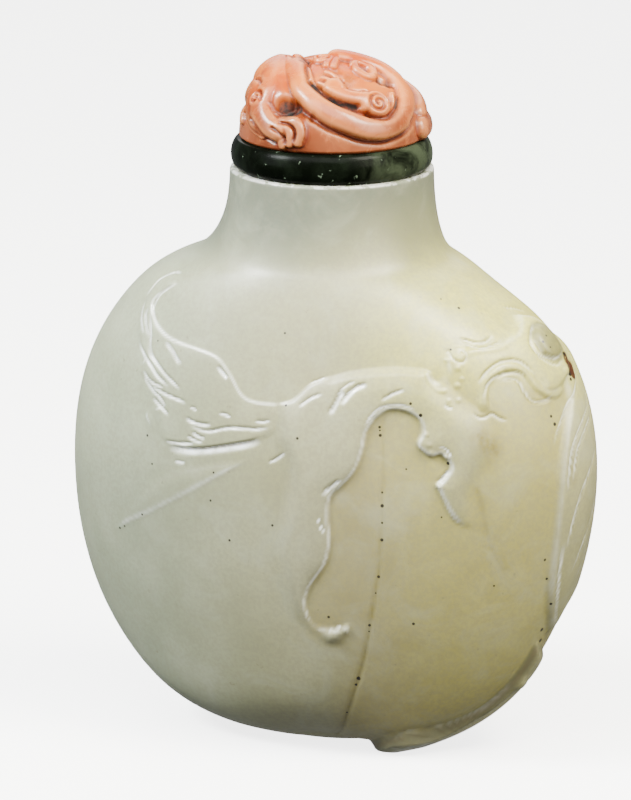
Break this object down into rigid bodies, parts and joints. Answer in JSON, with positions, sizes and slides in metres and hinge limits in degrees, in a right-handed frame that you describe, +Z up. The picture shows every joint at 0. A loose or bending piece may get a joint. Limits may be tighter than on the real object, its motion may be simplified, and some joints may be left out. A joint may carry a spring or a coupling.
{
  "type": "snuff bottle",
  "caption": "Small flattened carved stone snuff bottle with a hollow body, round mouth and a resting stopper of a dark collar under a domed carved cap.",
  "frame": {"origin": "on the neck's axis, at the level of the flat foot that the bottle stands on", "axes": "+Z up along the neck and stopper; -Y out of the wide front face that carries most of the relief; +X towards the narrow side on the right of that face"},
  "size_m": [0.0549, 0.0312, 0.0698],
  "materials": {
    "jade": "polished, waxy and slightly translucent pale celadon",
    "collar": "polished near-black green with fine mottling",
    "coral": "polished salmon coral, darker in its recesses"
  },
  "bodies": {
    "root": {"bottle": "jade", "stopper_collar": "collar", "stopper_cap": "coral"}
  },
  "joints": []
}
